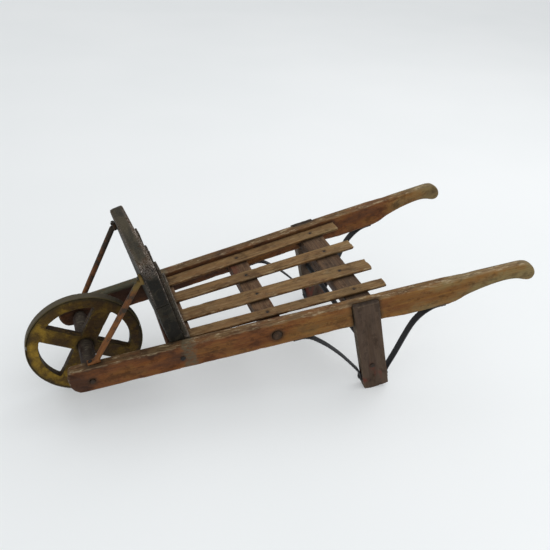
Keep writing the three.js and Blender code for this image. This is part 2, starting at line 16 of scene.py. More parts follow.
import bmesh
import bpy
import numpy as np
from mathutils import Matrix, Vector
from mathutils.bvhtree import BVHTree


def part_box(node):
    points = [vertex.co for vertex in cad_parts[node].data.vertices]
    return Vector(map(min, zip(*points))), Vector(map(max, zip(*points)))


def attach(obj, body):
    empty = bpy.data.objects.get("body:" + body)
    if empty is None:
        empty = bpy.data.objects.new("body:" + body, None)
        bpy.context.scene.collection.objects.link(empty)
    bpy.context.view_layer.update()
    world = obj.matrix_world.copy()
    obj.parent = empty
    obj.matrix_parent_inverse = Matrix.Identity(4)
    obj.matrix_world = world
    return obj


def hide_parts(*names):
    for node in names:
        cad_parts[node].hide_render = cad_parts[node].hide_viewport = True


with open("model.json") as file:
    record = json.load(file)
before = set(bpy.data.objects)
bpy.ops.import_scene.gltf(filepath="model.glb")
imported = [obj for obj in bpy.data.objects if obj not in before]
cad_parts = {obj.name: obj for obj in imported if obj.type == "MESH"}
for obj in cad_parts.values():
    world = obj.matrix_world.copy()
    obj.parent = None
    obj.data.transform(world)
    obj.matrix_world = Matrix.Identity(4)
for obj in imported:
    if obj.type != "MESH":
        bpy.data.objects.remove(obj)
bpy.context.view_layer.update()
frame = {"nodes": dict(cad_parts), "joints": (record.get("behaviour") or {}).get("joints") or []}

MM = 0.001
DEG = math.pi / 180

# ---- driving dimensions -----------------------------------------------------

AXLE = Vector(next(j for j in frame["joints"] if j["name"] == "wheel_spin")["pos_m"])
SHAFT_LINE_RISE = 2.8 * MM  # the shafts' middle over the axle
PITCH = math.atan(110 / 700)  # rise of the shafts towards the handles
SPLAY = math.atan(63.5 / 700)  # spread of the shafts towards the handles
SHAFT_OUT = 86 * MM  # shaft centre line from the middle, at the axle
SHAFT_HALF = 21.65 * MM  # half of a shaft's height
HANDLE_START = 600 * MM  # along a shaft from the axle
LEG_RAKE = math.atan(0.254)
RAIL_ENDS_FROM = 90 * MM  # about where the rails' dark ends start, from the middle
SLAT_SPREAD = {1: 30 / 324, 2: 10.5 / 324, 3: -6 / 324, 4: -15.5 / 324}  # sideways run per length
BOARD_LEAN = 7.2 * DEG
BOARD_SKEW = 4.2 * DEG
BOARD_FOOT = 117 * MM  # along the shafts from the axle, at the level of their tops
BOARD_END = 92 * MM  # the headboard's ends from its middle
BOARD_THICK = 21.6 * MM
BOARD_LOW_TOP = 144 * MM  # the top edge slopes, and is lowest at its left end
WHEEL_HALF = 7 * MM  # half of the wheel's width
REAR_OF_BED = (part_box("rail_middle")[1][0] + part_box("rail_rear")[0][0]) / 2  # between these rails
SIDES = {"left": -1, "right": 1}

# How finely pieces are remeshed.
COARSE = 1.7 * MM
FINE = 1.3 * MM
THIN = 0.9 * MM  # the tyre
FORGED = 0.8 * MM  # braces, stays and the bar between the legs
FINEST = 0.6 * MM  # the gudgeons

# Where the random draws of each kind of piece start.
SEEDS = {
    "shaft": 11, "leg": 21, "rail": 31, "slat": 41, "plank": 51, "batten": 61, "sill": 71,
    "disc": 81, "barrel": 82, "tyre": 83, "gudgeon": 84, "brace": 91, "stay": 93, "stretcher": 97,
}
FIELDS = ("wear", "dirt_and_shade", "stain", "paint", "tone")

# ---- camera -----------------------------------------------------------------

CAMERA_AT = (-0.3573, -0.8699, 0.7838)
CAMERA_TURN = (22.49 * DEG, 33.27 * DEG, 4.27 * DEG)  # azimuth, downward look and roll
SENSOR_WIDTH = 36
LENS = 43.63


def add_camera():
    """The camera stands off the near left front corner and looks down on the bed."""
    azimuth, elevation, roll = CAMERA_TURN
    forward = Vector((
        math.sin(azimuth) * math.cos(elevation),
        math.cos(azimuth) * math.cos(elevation),
        -math.sin(elevation),
    ))
    level = Vector((math.cos(azimuth), -math.sin(azimuth), 0))
    upright = level.cross(forward)
    right = level * math.cos(roll) + upright * math.sin(roll)
    up = upright * math.cos(roll) - level * math.sin(roll)
    turn = Matrix((right, up, -forward)).transposed().to_4x4()
    data = bpy.data.cameras.new("camera")
    data.sensor_width = SENSOR_WIDTH
    data.lens = LENS
    camera = bpy.data.objects.new("camera", data)
    camera.matrix_world = Matrix.Translation(CAMERA_AT) @ turn
    bpy.context.scene.collection.objects.link(camera)
    bpy.context.scene.camera = camera


add_camera()

# ---- noise ------------------------------------------------------------------

# Odd whole numbers that scatter the values of neighbouring cells.
CELL_KEYS = np.array([374761393, 668265263, 1440662683])
SEED_KEY = 982451653
SCATTER = 1274126177
KEY_HALF = 32767.5  # half of the largest key
OCTAVE_FINER = 2.03  # how much finer each octave is than the last
OCTAVE_SHIFT = 11.7  # and how far it lies from it, in its own cells
OCTAVE_SEED = 17
THREE_OCTAVES = 1.75  # their strengths together


def lattice_noise(points, seed):
    """A smooth random field over the points, from -1 to 1, one cell per unit."""
    cell = np.floor(points).astype(np.int64)
    part = points - cell
    part = part * part * (3 - 2 * part)
    total = np.zeros(len(points))
    for corner in itertools.product((0, 1), repeat=3):
        at = cell + np.array(corner)
        key = at @ CELL_KEYS + seed * SEED_KEY
        key = (key ^ (key >> 13)) * SCATTER & 0xFFFFFFFF
        key = (key ^ (key >> 16)) & 0xFFFF
        weight = np.prod(np.where(corner, part, 1 - part), axis=1)
        total += weight * (key / KEY_HALF - 1)
    return total


def fractal(points, scale, seed, octaves=3):
    """Lattice noise in octaves, each finer and half as strong as the last.

    scale is cells per metre along each axis.
    """
    total, size = 0, 1
    at = points * np.array(scale)
    for octave in range(octaves):
        total = total + lattice_noise(at, seed + OCTAVE_SEED * octave) * size
        at = at * OCTAVE_FINER + OCTAVE_SHIFT
        size /= 2
    return total / THREE_OCTAVES


def ramp(values, low, high):
    """A smooth step from 0 at low to 1 at high."""
    t = np.clip((values - low) / (high - low), 0, 1)
    return t * t * (3 - 2 * t)


# ---- mesh helpers -----------------------------------------------------------

WELD = 0.005 * MM  # points closer than this become one


def coordinates(mesh):
    flat = np.empty(len(mesh.vertices) * 3)
    mesh.vertices.foreach_get("co", flat)
    return flat.reshape(-1, 3)


def normals(mesh):
    flat = np.empty(len(mesh.vertices) * 3)
    mesh.vertex_normals.foreach_get("vector", flat)
    return flat.reshape(-1, 3)


def put_coordinates(mesh, points):
    mesh.vertices.foreach_set("co", points.astype(np.float32).ravel())
    mesh.update()


def edge_pairs(mesh):
    flat = np.empty(len(mesh.edges) * 2, np.int32)
    mesh.edges.foreach_get("vertices", flat)
    return flat.reshape(-1, 2)


def neighbour_mean(pairs, values):
    """The mean of each vertex's neighbours, for one or more values a vertex."""
    count = np.bincount(pairs.ravel(), minlength=len(values)).astype(float)
    columns = values.reshape(len(values), -1)
    sums = np.empty_like(columns)
    for k in range(columns.shape[1]):
        one = np.bincount(pairs[:, 0], columns[pairs[:, 1], k], len(values))
        two = np.bincount(pairs[:, 1], columns[pairs[:, 0], k], len(values))
        sums[:, k] = (one + two) / np.maximum(count, 1)
    return sums.reshape(values.shape)


def spread(pairs, values, rounds):
    """Blurs a value over its neighbours."""
    for _ in range(rounds):
        values = (values + neighbour_mean(pairs, values)) / 2
    return values


def put_field(mesh, name, values):
    """Keeps a value from 0 to 1 for each vertex, for the material to read."""
    attribute = mesh.attributes.new(name, "FLOAT", "POINT")
    attribute.data.foreach_set("value", np.clip(values, 0, 1).astype(np.float32))


def link(name, mesh, basis=None):
    """A new object in the scene, with the axes of basis."""
    obj = bpy.data.objects.new(name, mesh)
    bpy.context.scene.collection.objects.link(obj)
    if basis is not None:
        obj.matrix_world = basis
    return obj


def applied(obj):
    """Replaces an object's mesh by what its modifiers make of it."""
    bpy.context.view_layer.update()
    graph = bpy.context.evaluated_depsgraph_get()
    mesh = bpy.data.meshes.new_from_object(obj.evaluated_get(graph), depsgraph=graph)
    obj.modifiers.clear()
    obj.data = mesh
    return obj


def node_copy(node, name, basis):
    """A welded copy of a node's mesh as a new object with the axes of basis."""
    mesh = frame["nodes"][node].data.copy()
    mesh.transform(basis.inverted())
    mesh.materials.clear()
    solid = bmesh.new()
    solid.from_mesh(mesh)
    bmesh.ops.remove_doubles(solid, verts=solid.verts, dist=WELD)
    solid.to_mesh(mesh)
    solid.free()
    return link(name, mesh, basis)


def smooth_shaded(mesh):
    mesh.polygons.foreach_set("use_smooth", [True] * len(mesh.polygons))


def seat(obj, node, material, body="frame"):
    """Gives a finished piece its material and its place in the frame."""
    obj.data.materials.append(material)
    smooth_shaded(obj.data)
    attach(obj, body)
    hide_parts(node)
    return obj


# ---- axes that follow the grain ----------------------------------------------


def axes(x, z, at=(0, 0, 0)):
    """Axes with that x and, as nearly as it can be, that z."""
    x = Vector(x).normalized()
    y = Vector(z).cross(x).normalized()
    columns = Matrix((x, y, x.cross(y))).transposed()
    return Matrix.Translation(at) @ columns.to_4x4()


PITCH_TURN = Matrix.Rotation(-PITCH, 4, "Y")
PITCHED = Matrix.Translation(AXLE + Vector((0, 0, SHAFT_LINE_RISE))) @ PITCH_TURN
WHEEL_AXES = Matrix.Translation(AXLE)


def side_axes(side):
    """Upright axes at a shaft: x rearwards along its splay, y to the right and z up."""
    out = Matrix.Translation((0, side * SHAFT_OUT, 0))
    return Matrix.Translation(AXLE) @ out @ Matrix.Rotation(side * SPLAY, 4, "Z")


def shaft_axes(side):
    return side_axes(side) @ Matrix.Translation((0, 0, SHAFT_LINE_RISE)) @ PITCH_TURN


def leg_axes(side):
    return side_axes(side) @ axes((-math.sin(LEG_RAKE), 0, math.cos(LEG_RAKE)), (-1, 0, 0))


def rail_axes():
    return PITCHED @ axes((0, 1, 0), (0, 0, 1))


def slat_axes(number):
    return PITCHED @ axes((1, SLAT_SPREAD[number], 0), (0, 0, 1))


def board_axes(grain_up=False):
    """The leaning headboard's axes: x along it and z up it, or x up it for the battens."""
    turn = Matrix.Rotation(BOARD_SKEW, 4, "Z") @ Matrix.Rotation(-BOARD_LEAN, 4, "Y")
    turn = Matrix.Translation((BOARD_FOOT, 0, SHAFT_HALF)) @ turn
    grain = axes((0, 0, 1), (-1, 0, 0)) if grain_up else axes((0, 1, 0), (0, 0, 1))
    return PITCHED @ turn @ grain


# ---- fasteners' places --------------------------------------------------------

FASTENERS = sorted(n for n in frame["nodes"] if "nail" in n or "screw" in n or "bolt" in n)
Lie = namedtuple("Lie", "at axis head shank depth dome")


def fastener_lie(node):
    """Where a fastener's head meets its shank, and which way its head faces.

    The lie also holds the head's and shank's radii, the shank's length and the head's height.
    """
    points = coordinates(frame["nodes"][node].data)
    points = np.unique(points.round(7), axis=0)
    middle = points.mean(0)
    values, vectors = np.linalg.eigh(np.cov((points - middle).T))
    odd = 0 if values[1] - values[0] > values[2] - values[1] else 2  # a turned solid's own axis
    axis = vectors[:, odd]
    along = (points - middle) @ axis
    line = middle + np.outer(along, axis)
    radii = np.linalg.norm(points - line, axis=1)
    if along[radii.argmax()] < 0:
        axis, along = -axis, -along
    head = radii.max()
    shank = radii[along < along.min() + 1 * MM].max()
    seat_at = along[radii > head * 0.98].min()
    depth, dome = seat_at - along.min(), along.max() - seat_at
    return Lie(middle + axis * seat_at, axis, head, shank, depth, dome)


FASTENER_HEADS = [fastener_lie(node).at for node in FASTENERS]

# ---- carving ----------------------------------------------------------------

SWAY = 0.25 * MM  # how far faces wander from flat
WORN_BEND = (0.03, 0.13)  # how sharply edges bend where wear starts and where it is full
USUAL = {"paint": 0.0, "tone": 0.5, "knocked": 0.0, "sound": 0.0}
SEED_SHIFT = 0.37  # how far apart two seeds draw their noise from, in metres

# Cells per metre, along and across the grain.
CHIP_CELLS = (45, 160, 160)
SWAY_CELLS = (9, 25, 25)
GRAIN_CELLS = (28, 330, 330)
trees = {}


def tree_of(node):
    """A node's surface, for finding its nearest points; each is made once."""
    if node not in trees:
        mesh = frame["nodes"][node].data
        faces = [list(p.vertices) for p in mesh.polygons]
        trees[node] = BVHTree.FromPolygons([v.co for v in mesh.vertices], faces)
    return trees[node]


def dirt_and_shade_near(node, world, reach=7 * MM):
    """How close each point lies to the other pieces, 1 at a joint and 0 past reach."""
    found = np.zeros(len(world))
    for other in frame["nodes"]:
        if other == node or other in FASTENERS:
            continue
        low, high = (np.array(corner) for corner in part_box(other))
        inside = np.all((world > low - reach) & (world < high + reach), axis=1)
        for index in np.flatnonzero(inside):
            hit = tree_of(other).find_nearest(Vector(world[index]), reach)
            if hit[0] is not None:
                found[index] = max(found[index], 1 - hit[3] / reach)
    return found


def stain_near(world, reach=6.5 * MM):
    """How close each point lies to an iron fastener's head."""
    found = np.zeros(len(world))
    for head in FASTENER_HEADS:
        away = np.linalg.norm(world - head, axis=1)
        found = np.maximum(found, 1 - ramp(away, 0.35 * reach, reach))
    return found


def carve(node, name, basis, voxel, seed, rough=0.12 * MM, chip=0.7 * MM, **fields):
    """A worn copy of a node: remeshed, with softened and chipped edges and raised grain.

    fields may hold shape, which reworks the mesh first, and functions of the points in the
    piece's axes and in the frame for paint, tone, knocked, which adds wear, and sound, which
    keeps wear away.
    """
    obj = node_copy(node, name, basis)
    remesh = obj.modifiers.new("remesh", "REMESH")
    remesh.mode = "VOXEL"
    remesh.voxel_size = voxel
    mesh = applied(obj).data
    if "shape" in fields:
        fields["shape"](mesh)
    pairs = edge_pairs(mesh)
    points, out = coordinates(mesh), normals(mesh)
    bend = np.einsum("ij,ij->i", points - neighbour_mean(pairs, points), out) / voxel
    world = points @ np.array(basis.to_3x3()).T + np.array(basis.translation)
    drawn = {
        key: fields[key](points, world) if key in fields else np.full(len(points), usual)
        for key, usual in USUAL.items()
    }
    wear = ramp(spread(pairs, np.maximum(bend, 0), 4), *WORN_BEND)
    wear = np.maximum(wear, drawn["knocked"]) * (1 - drawn["sound"])
    shifted = points + seed * SEED_SHIFT
    chips = ramp(fractal(shifted, CHIP_CELLS, seed), 0.12, 0.55)
    sway = fractal(shifted, SWAY_CELLS, seed + 1, octaves=2)
    grain = fractal(shifted, GRAIN_CELLS, seed + 2, octaves=2)
    move = SWAY * sway + rough * grain - chip * wear * (0.25 + chips)
    put_coordinates(mesh, points + out * move[:, None])
    put_field(mesh, "wear", wear * (0.45 + 0.75 * ramp(chips, 0, 0.6)))
    put_field(mesh, "dirt_and_shade", spread(pairs, dirt_and_shade_near(node, world), 2))
    put_field(mesh, "stain", stain_near(world))
    put_field(mesh, "paint", drawn["paint"])
    put_field(mesh, "tone", drawn["tone"])
    return obj


# ---- node materials -----------------------------------------------------------

SHINIEST = 0.5  # the least roughness of any surface

# Dirt packed into joints, with painted shade near them, and the stain that iron leaves round a
# fastener.
WOOD_DIRT_AND_SHADE, WOOD_STAIN = (0.016, 0.01, 0.006), (0.02, 0.012, 0.008)
PAINT_DIRT_AND_SHADE, PAINT_STAIN = (0.012, 0.01, 0.006), (0.028, 0.015, 0.008)


class Shader:
    """A material being wired up, with short calls for the nodes it is made of."""

    def __init__(self, name, metallic=0.0, specular=0.3):
        self.material = bpy.data.materials.new(name)
        self.material.use_nodes = True
        self.tree = self.material.node_tree
        self.surface = self.tree.nodes["Principled BSDF"]
        self.surface.inputs["Metallic"].default_value = metallic
        self.surface.inputs["Specular IOR Level"].default_value = specular
        self.place = self._place()

    def node(self, kind, **settings):
        made = self.tree.nodes.new("ShaderNode" + kind)
        for key, value in settings.items():
            setattr(made, key, value)
        return made

    def feed(self, socket, value):
        """Links a socket to an output, or gives it a constant."""
        if isinstance(value, bpy.types.NodeSocket):
            self.tree.links.new(value, socket)
        elif isinstance(value, tuple) and len(value) == 3 and socket.type == "RGBA":
            socket.default_value = (*value, 1)
        else:
            socket.default_value = value

    def _place(self):
        """The object's own coordinates, moved by an amount of the object's own."""
        own = self.node("TexCoord").outputs["Object"]
        shift = self.math("MULTIPLY", self.node("ObjectInfo").outputs["Random"], 7.0)
        moved = self.node("VectorMath", operation="ADD")
        self.feed(moved.inputs[0], own)
        self.feed(moved.inputs[1], shift)
        return moved.outputs[0]

    def math(self, operation, a, b=0.0, clamp=False):
        made = self.node("Math", operation=operation, use_clamp=clamp)
        self.feed(made.inputs[0], a)
        self.feed(made.inputs[1], b)
        return made.outputs[0]

    def noise(self, scale, detail=4.0, roughness=0.55, distortion=0.0):
        """Noise over the object; scale is in features per metre along each axis."""
        stretch = self.node("Mapping")
        self.feed(stretch.inputs["Vector"], self.place)
        self.feed(stretch.inputs["Scale"], scale)
        made = self.node("TexNoise")
        self.feed(made.inputs["Vector"], stretch.outputs[0])
        for key, value in (("Scale", 1.0), ("Detail", detail), ("Roughness", roughness)):
            self.feed(made.inputs[key], value)
        self.feed(made.inputs["Distortion"], distortion)
        return made.outputs[0]

    def step(self, value, low, high, out_low=0.0, out_high=1.0):
        """A smooth step from out_low at low to out_high at high."""
        made = self.node("MapRange", interpolation_type="SMOOTHSTEP")
        for index, item in enumerate((value, low, high, out_low, out_high)):
            self.feed(made.inputs[index], item)
        return made.outputs[0]

    def mix(self, share, a, b, blend="MIX"):
        """Mixes two colours, by the mix node's colour sockets."""
        made = self.node("Mix", data_type="RGBA", blend_type=blend)
        self.feed(made.inputs[0], share)
        self.feed(made.inputs[6], a)
        self.feed(made.inputs[7], b)
        return made.outputs[2]

    def ramp(self, value, stops):
        """The colour at a value, between (place, colour) stops."""
        made = self.node("ValToRGB")
        bar = made.color_ramp.elements
        for index, (at, colour) in enumerate(stops):
            stop = bar[index] if index < 2 else bar.new(at)
            stop.position = at
            stop.color = (*colour, 1)
        self.feed(made.inputs[0], value)
        return made.outputs[0]

    def field(self, name):
        return self.node("Attribute", attribute_name=name).outputs["Fac"]

    def facing_up(self, low, high):
        """How far the surface faces the piece's own +z."""
        parts = self.node("SeparateXYZ")
        self.feed(parts.inputs[0], self.node("TexCoord").outputs["Normal"])
        return self.step(parts.outputs[2], low, high)

    def bump(self, height, distance, below=None):
        made = self.node("Bump")
        self.feed(made.inputs["Distance"], distance)
        self.feed(made.inputs["Height"], height)
        if below is not None:
            self.feed(made.inputs["Normal"], below)
        return made.outputs[0]

    def finish(self, colour, roughness, normal):
        self.feed(self.surface.inputs["Base Color"], colour)
        self.feed(self.surface.inputs["Roughness"], roughness)
        self.feed(self.surface.inputs["Normal"], normal)
        return self.material


def evenly(colours):
    """Colours as stops of a ramp, spaced evenly from 0 to 1."""
    return [(k / (len(colours) - 1), colour) for k, colour in enumerate(colours)]


def wood_colour(s, stops):
    """Grain-streaked wood colour along the piece's tone, and its fibre height."""
    figure = s.noise((2.6, 60, 60), 4, 0.6, 0.5)
    fibre = s.noise((16, 620, 620), 6, 0.65)
    blotch = s.noise((14, 26, 26), 6, 0.66)
    tone = s.math("ADD", s.field("tone"), s.step(blotch, 0.3, 0.7, -0.28, 0.28))
    colour = s.ramp(tone, evenly(stops))
    colour = s.mix(s.step(figure, 0.56, 0.36, 0, 0.4), colour, (0.55, 0.47, 0.42), "MULTIPLY")
    colour = s.mix(s.step(figure, 0.56, 0.7, 0, 0.5), colour, (1.2, 1.16, 1.08), "MULTIPLY")
    colour = s.mix(s.step(fibre, 0.6, 0.38, 0, 0.5), colour, (0.55, 0.48, 0.44), "MULTIPLY")
    colour = s.mix(s.step(blotch, 0.55, 0.72, 0, 0.8), colour, (0.45, 0.38, 0.34), "MULTIPLY")
    return colour, fibre


def aged_wood(name, stops, weathered, bare, paint, specked=0.5, top=0.75, shaded_sides=0.0):
    """Old bare wood: dulled on top, pale where worn, dark round iron; dirt and painted shade at
    joints.

    stops run from the darkest wood to the palest. specked and top are how far pale specks and
    the weathered top go; the last argument is how far painted shade darkens the sides.
    """
    s = Shader(name, specular=0.15)
    colour, fibre = wood_colour(s, stops)
    patches = s.noise((20, 80, 80), 5, 0.65)
    dirt = s.noise((45, 75, 75), 6, 0.7, 0.3)
    flecks = s.noise((85, 330, 330), 5, 0.7)
    crackle = s.noise((150, 190, 190), 4, 0.6)
    up = s.facing_up(0.6, 0.95)
    sides = s.math("SUBTRACT", 1.0, s.facing_up(0.15, 0.6))
    over = s.math("MULTIPLY", up, s.step(patches, 0.36, 0.6, 0.2, top))
    faded = s.mix(s.step(s.field("tone"), 0.7, 0.92, 0, 0.4), weathered, bare)
    streaked = s.mix(s.step(fibre, 0.58, 0.4), faded, (0.45, 0.42, 0.4), "MULTIPLY")
    colour = s.mix(over, colour, streaked)
    colour = s.mix(s.step(dirt, 0.5, 0.62, 0, 0.75), colour, (0.5, 0.46, 0.42), "MULTIPLY")
    # painted shade: faces turned away from the top are darkened as if shade fell on them
    colour = s.mix(s.math("MULTIPLY", sides, shaded_sides), colour, (0.4, 0.36, 0.33), "MULTIPLY")
    worn = s.math("MULTIPLY", s.field("wear"), s.step(flecks, 0.42, 0.6), clamp=True)
    colour = s.mix(s.math("MULTIPLY", worn, 0.85), colour, bare)
    lift = s.math("MULTIPLY", s.field("tone"), 0.04)
    scabs = s.math("ADD", s.noise((50, 190, 190), 6, 0.72), lift)
    specks = s.math("MULTIPLY", up, s.step(scabs, 0.55, 0.65, 0, specked))
    colour = s.mix(specks, colour, bare)
    painted = s.math("MULTIPLY", s.field("paint"), s.step(crackle, 0.38, 0.52, 0.35, 0.95))
    colour = s.mix(painted, colour, paint)
    # dirt and painted shade: the wood is darker where it lies near other pieces
    dirt_and_shade = s.math("MULTIPLY", s.field("dirt_and_shade"), s.step(patches, 0.3, 0.6, 0.45, 0.85))
    colour = s.mix(dirt_and_shade, colour, WOOD_DIRT_AND_SHADE)
    colour = s.mix(s.math("MULTIPLY", s.field("stain"), 0.55), colour, WOOD_STAIN)
    rough = s.step(s.math("ADD", fibre, patches), 0.8, 1.25, SHINIEST, 0.9)
    normal = s.bump(fibre, 0.3 * MM)
    normal = s.bump(flecks, 0.3 * MM, normal)
    return s.finish(colour, rough, normal)


def painted_wood(name, stops, paints, primer, thin, brushed=(26, 55, 55)):
    """Old paint over dark wood, dulled by dirt and by painted shade near joints, chipped along the
    edges and flaking.

    Less paint is left as thin rises; brushed is how closely its shades change.
    """
    s = Shader(name, specular=0.15)
    ground, fibre = wood_colour(s, stops)
    shade = s.noise(brushed, 6, 0.64, 0.5)
    flakes = s.noise((75, 110, 110), 6, 0.66, 0.4)
    fine = s.noise((420, 640, 640), 4, 0.6)
    tone = s.math("ADD", s.field("tone"), s.step(shade, 0.32, 0.68, -0.34, 0.34))
    coat = s.ramp(tone, evenly(paints))
    coat = s.mix(s.step(fine, 0.48, 0.66, 0, 0.6), coat, (0.55, 0.5, 0.45), "MULTIPLY")
    edge = s.math("MULTIPLY", s.field("wear"), 0.55)
    left = s.math("SUBTRACT", s.math("ADD", flakes, s.field("paint")), edge)
    cover = s.step(left, thin - 0.07, thin + 0.07)
    colour = s.mix(cover, ground, coat)
    chip = s.math("MULTIPLY", s.field("wear"), s.step(fine, 0.44, 0.58))
    colour = s.mix(s.math("MULTIPLY", chip, 0.8), colour, primer)
    # dirt and painted shade: the paint is darker where it lies near other pieces
    dirt_and_shade = s.math("MULTIPLY", s.field("dirt_and_shade"), 0.8)
    colour = s.mix(dirt_and_shade, colour, PAINT_DIRT_AND_SHADE)
    colour = s.mix(s.math("MULTIPLY", s.field("stain"), 0.6), colour, PAINT_STAIN)
    rough = s.step(s.math("ADD", fine, shade), 0.75, 1.25, SHINIEST, 0.85)
    normal = s.bump(fibre, 0.25 * MM)
    normal = s.bump(cover, 0.18 * MM, normal)
    return s.finish(colour, rough, normal)


def old_iron(name, scale_colour, rusts, rust_at, metallic, paint=(0.12, 0.092, 0.02)):
    """Forged iron under scale with rust coming through, and paint where it was brushed.

    rusts run from dark to bright. More of the scale is left as rust_at rises.
    """
    s = Shader(name, metallic, 0.3)
    patch = s.noise((60, 60, 60), 5, 0.62)
    grit = s.noise((900, 900, 900), 5, 0.7)
    flow = s.noise((25, 190, 190), 4, 0.6)
    mottle = s.math("MULTIPLY", s.math("ADD", grit, flow), 0.5)
    rust = s.ramp(mottle, list(zip((0.34, 0.5, 0.66), rusts)))
    seen = s.math("ADD", patch, s.math("MULTIPLY", s.field("tone"), 0.4))
    share = s.step(s.math("ADD", seen, s.math("MULTIPLY", grit, 0.2)), rust_at, rust_at + 0.16)
    colour = s.mix(share, scale_colour, rust)
    painted = s.math("MULTIPLY", s.field("paint"), s.step(patch, 0.38, 0.5, 0.3, 1))
    colour = s.mix(painted, colour, paint)
    rough = s.step(grit, 0.3, 0.7, SHINIEST, 0.88)
    normal = s.bump(grit, 0.12 * MM)
    normal = s.bump(patch, 0.3 * MM, normal)
    return s.finish(colour, rough, normal)


SHAFT_WOOD = aged_wood(
    "shaft_wood",
    ((0.06, 0.025, 0.012), (0.15, 0.053, 0.014), (0.21, 0.1, 0.026), (0.205, 0.15, 0.062)),
    weathered=(0.17, 0.115, 0.056), bare=(0.37, 0.29, 0.175), paint=(0.075, 0.075, 0.048),
    specked=0.65,
)
RAIL_WOOD = aged_wood(
    "rail_wood", ((0.05, 0.036, 0.024), (0.12, 0.064, 0.033), (0.19, 0.105, 0.048)),
    weathered=(0.14, 0.085, 0.05), bare=(0.26, 0.18, 0.11), paint=(0.11, 0.028, 0.014),
    specked=0.2,
)
SLAT_WOOD = aged_wood(
    "slat_wood", ((0.13, 0.058, 0.018), (0.23, 0.12, 0.042), (0.27, 0.18, 0.075)),
    weathered=(0.22, 0.145, 0.068), bare=(0.36, 0.27, 0.15), paint=(0.11, 0.1, 0.04),
    specked=0.25, top=0.6, shaded_sides=0.8,
)
LEG_WOOD = aged_wood(
    "leg_wood", ((0.045, 0.029, 0.018), (0.078, 0.05, 0.033), (0.1, 0.069, 0.047)),
    weathered=(0.12, 0.09, 0.055), bare=(0.2, 0.15, 0.1), paint=(0.13, 0.02, 0.012),
)
# The wood that shows where paint has gone, on the headboard and on the wheel.
DARK_WOOD = ((0.016, 0.009, 0.004), (0.035, 0.021, 0.008), (0.06, 0.036, 0.015))
OLIVE_WOOD = ((0.028, 0.015, 0.006), (0.055, 0.03, 0.009), (0.08, 0.05, 0.016))
BOARD_PAINT = painted_wood(
    "board_paint", DARK_WOOD,
    paints=((0.008, 0.007, 0.005), (0.035, 0.03, 0.02), (0.07, 0.058, 0.038)),
    primer=(0.36, 0.31, 0.27), thin=0.36,
)
WHEEL_PAINT = painted_wood(
    "wheel_paint", OLIVE_WOOD,
    paints=((0.036, 0.018, 0.005), (0.082, 0.047, 0.007), (0.26, 0.16, 0.02)),
    primer=(0.22, 0.18, 0.045), thin=0.53, brushed=(38, 45, 38),
)
HUB_WOOD = aged_wood(
    "hub_wood", ((0.022, 0.014, 0.011), (0.045, 0.029, 0.023), (0.075, 0.058, 0.043)),
    weathered=(0.07, 0.06, 0.045), bare=(0.15, 0.13, 0.09), paint=(0.075, 0.08, 0.06),
)
IRON = old_iron(
    "iron", (0.045, 0.045, 0.047),
    ((0.02, 0.012, 0.008), (0.06, 0.03, 0.015), (0.12, 0.06, 0.03)), rust_at=0.98, metallic=0.6,
)
RUST = old_iron(
    "rusty_iron", (0.03, 0.02, 0.012),
    ((0.04, 0.016, 0.006), (0.14, 0.05, 0.012), (0.24, 0.095, 0.022)), rust_at=0.76, metallic=0.1,
)
NAIL_IRON = old_iron(
    "nail_iron", (0.012, 0.01, 0.008),
    ((0.016, 0.009, 0.005), (0.03, 0.016, 0.008), (0.055, 0.026, 0.013)), rust_at=0.6, metallic=0.1,
)
TYRE_IRON = old_iron(
    "tyre_iron", (0.078, 0.063, 0.038),
    ((0.03, 0.02, 0.01), (0.07, 0.05, 0.025), (0.11, 0.095, 0.055)), rust_at=0.92, metallic=0.2,
    paint=(0.07, 0.05, 0.013),
)

# ---- wooden pieces ----------------------------------------------------------


def soften(mesh, share, rounds):
    """Relaxes the surface by a share for each vertex, as hands and knocks round wood."""
    pairs = edge_pairs(mesh)
    points = coordinates(mesh)
    for _ in range(rounds):
        points += (neighbour_mean(pairs, points) - points) * share[:, None]
    put_coordinates(mesh, points)


def round_shaft_ends(mesh):
    """Rounds the handles, the front ends and the corner where each handle starts."""
    points = coordinates(mesh)
    along = points[:, 0]
    handle = ramp(along, HANDLE_START, HANDLE_START + 70 * MM)
    front = 1 - ramp(along, -30 * MM, -12 * MM)
    soften(mesh, 0.6 * np.maximum(handle, front), 5)
    soften(mesh, 0.6 * (1 - ramp(np.abs(along - HANDLE_START), 8 * MM, 30 * MM)), 10)


def green_band(points, world):
    """Board paint brushed over a shaft's side below the headboard."""
    edge = 5 * MM * fractal(points, (200, 200, 200), 5)
    along = points[:, 0] + edge
    return ramp(along, 134 * MM, 142 * MM) * (1 - ramp(along, 154 * MM, 162 * MM)) * 0.65


def green_front(points, world):
    """The band, and a film of the same paint on top of the right shaft beside the wheel."""
    film = ramp(points[:, 2], SHAFT_HALF - 5 * MM, SHAFT_HALF - 2 * MM)
    film *= 1 - ramp(points[:, 0], 90 * MM, 150 * MM)
    return np.maximum(green_band(points, world), 0.9 * film)


def shaft_tone(points, world):
    """Dark at the wheel, red then orange along the bed, bleached olive at the handles.

    The right shaft stays darker along the bed than the left.
    """
    along = points[:, 0]
    left = world[:, 1] < 0
    front = np.where(left, 0.12, 0.02) + 0.16 * ramp(along, -20 * MM, 60 * MM)
    bed = np.where(left, 0.28, 0.16) * ramp(along, 120 * MM, 400 * MM)
    left_grip = 0.36 * ramp(along, 460 * MM, 640 * MM)
    right_grip = 0.54 * ramp(along, 560 * MM, 700 * MM)
    return front + bed + np.where(left, left_grip, right_grip)


